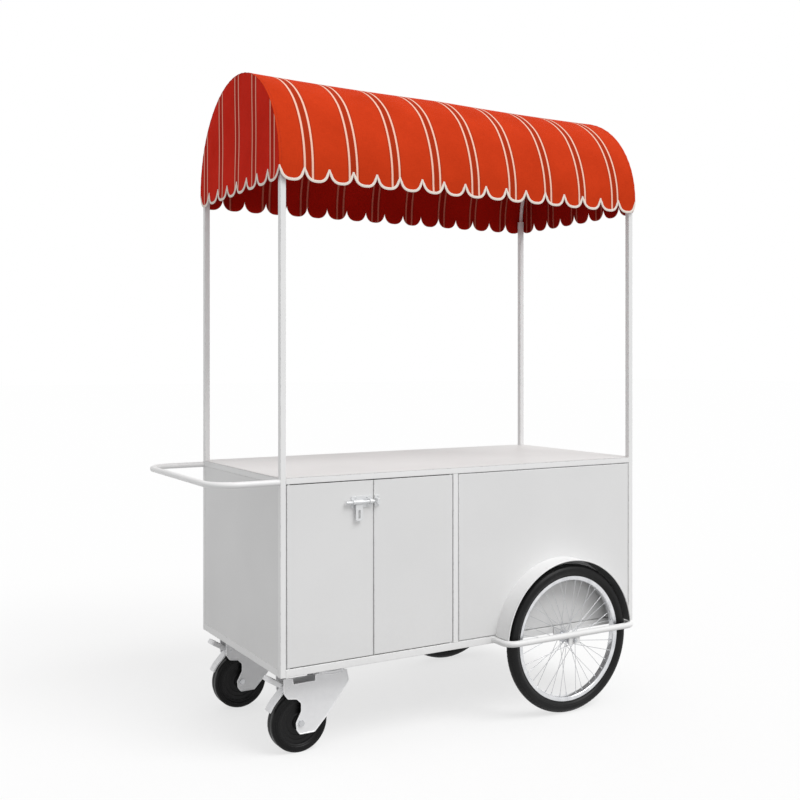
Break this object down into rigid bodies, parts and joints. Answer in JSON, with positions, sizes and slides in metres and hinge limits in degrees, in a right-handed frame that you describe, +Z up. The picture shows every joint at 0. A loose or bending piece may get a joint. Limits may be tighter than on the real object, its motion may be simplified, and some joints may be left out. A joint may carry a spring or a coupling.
{
  "type": "coffee cart",
  "caption": "Push cart with a doored cabinet and counter, on spoke wheels and braked casters, under a scalloped barrel canopy with a push handle.",
  "frame": {"origin": "on the floor, at the middle of the overall length and depth", "axes": "+Z up, +X along the cart away from the push handle, the doors face -Y"},
  "size_m": [1.7374, 0.926, 2.2895],
  "materials": {
    "frame_paint": "white powder coat, satin",
    "panel_paint": "white powder coat, satin",
    "counter_paint": "white powder coat, satin",
    "latch_steel": "bright zinc plate",
    "fastener_steel": "zinc plate",
    "tyre_rubber": "matt black",
    "rim_aluminium": "polished",
    "spoke_steel": "bright drawn wire",
    "hub_aluminium": "polished",
    "caster_steel": "bright zinc plate, pressed",
    "caster_rubber": "matt black",
    "caster_plastic": "matt black",
    "canopy_fabric": "woven, with pairs of thin pale stripes and pale piping",
    "canopy_end_fabric": "woven, with pairs of thin pale stripes and pale piping"
  },
  "bodies": {
    "frame": {"posts": "frame_paint", "base_rails": "frame_paint", "base_end_rails": "frame_paint", "caster_cross_rails": "frame_paint", "counter_rails": "frame_paint", "counter_end_rails": "frame_paint", "door_stile": "frame_paint", "floor_panel": "counter_paint", "counter_top": "counter_paint", "end_panels": "panel_paint", "back_panel": "panel_paint", "front_panel": "panel_paint", "push_handle": "frame_paint", "wheel_guard_front": "frame_paint", "wheel_guard_back": "frame_paint", "fender_front": "frame_paint", "fender_back": "frame_paint", "axle_brackets": "frame_paint", "wheel_axles": "fastener_steel", "axle_nuts": "fastener_steel", "caster_plates": "caster_steel", "caster_bolts": "fastener_steel", "caster_kingpins": "fastener_steel", "door_pivot_pins": "latch_steel", "canopy_hoops": "frame_paint", "canopy_purlins": "frame_paint", "canopy_cover": "canopy_fabric", "canopy_end_left": "canopy_end_fabric", "canopy_end_right": "canopy_end_fabric"},
    "door_left": {"door_left": "panel_paint", "bolt_plate": "latch_steel", "bolt_screws": "latch_steel"},
    "door_right": {"door_right": "panel_paint", "bolt_keeper": "latch_steel", "keeper_screws": "latch_steel"},
    "bolt": {"bolt_rod": "latch_steel"},
    "hasp": {"bolt_hasp": "latch_steel"},
    "wheel_front": {"tyre_front": "tyre_rubber", "rim_front": "rim_aluminium", "spokes_front": "spoke_steel", "hub_front": "hub_aluminium", "hub_bearings_front": "fastener_steel"},
    "caster_front": {"caster_fork_front": "caster_steel", "caster_axle_front": "fastener_steel", "pedal_pin_front": "fastener_steel"},
    "caster_wheel_front": {"caster_tread_front": "caster_rubber", "caster_core_front": "caster_plastic"},
    "pedal_front": {"brake_pedal_front": "caster_steel"},
    "wheel_back": {"tyre_back": "tyre_rubber", "rim_back": "rim_aluminium", "spokes_back": "spoke_steel", "hub_back": "hub_aluminium", "hub_bearings_back": "fastener_steel"},
    "caster_back": {"caster_fork_back": "caster_steel", "caster_axle_back": "fastener_steel", "pedal_pin_back": "fastener_steel"},
    "caster_wheel_back": {"caster_tread_back": "caster_rubber", "caster_core_back": "caster_plastic"},
    "pedal_back": {"brake_pedal_back": "caster_steel"}
  },
  "joints": [
    {"name": "door_left_hinge", "type": "hinge", "parent": "frame", "child": "door_left", "pos_m": [-0.60775, -0.354, 0.6], "axis": [0, 0, -1], "range_deg": [0, 110]},
    {"name": "door_right_hinge", "type": "hinge", "parent": "frame", "child": "door_right", "pos_m": [0.01025, -0.354, 0.6], "axis": [0, 0, 1], "range_deg": [0, 110]},
    {"name": "bolt_slide", "type": "slide", "parent": "door_left", "child": "bolt", "axis": [1, 0, 0], "range_m": [0, 0.025]},
    {"name": "hasp_swing", "type": "hinge", "parent": "bolt", "child": "hasp", "pos_m": [-0.35025, -0.3708, 0.826], "axis": [-1, 0, 0], "range_deg": [0, 90]},
    {"name": "wheel_front_spin", "type": "hinge", "parent": "frame", "child": "wheel_front", "pos_m": [0.49125, -0.41, 0.272], "axis": [0, 1, 0], "continuous": true},
    {"name": "caster_front_swivel", "type": "hinge", "parent": "frame", "child": "caster_front", "pos_m": [-0.42375, -0.26, 0.28], "axis": [0, 0, 1], "continuous": true},
    {"name": "caster_wheel_front_spin", "type": "hinge", "parent": "caster_front", "child": "caster_wheel_front", "pos_m": [-0.53375, -0.26, 0.1], "axis": [0, 1, 0], "continuous": true},
    {"name": "pedal_front_press", "type": "hinge", "parent": "caster_front", "child": "pedal_front", "pos_m": [-0.57775, -0.26, 0.22216], "axis": [0, -1, 0], "range_deg": [0, 6]},
    {"name": "wheel_back_spin", "type": "hinge", "parent": "frame", "child": "wheel_back", "pos_m": [0.49125, 0.41, 0.272], "axis": [0, 1, 0], "continuous": true},
    {"name": "caster_back_swivel", "type": "hinge", "parent": "frame", "child": "caster_back", "pos_m": [-0.42375, 0.26, 0.28], "axis": [0, 0, 1], "continuous": true},
    {"name": "caster_wheel_back_spin", "type": "hinge", "parent": "caster_back", "child": "caster_wheel_back", "pos_m": [-0.53375, 0.26, 0.1], "axis": [0, 1, 0], "continuous": true},
    {"name": "pedal_back_press", "type": "hinge", "parent": "caster_back", "child": "pedal_back", "pos_m": [-0.57775, 0.26, 0.22216], "axis": [0, -1, 0], "range_deg": [0, 6]}
  ]
}
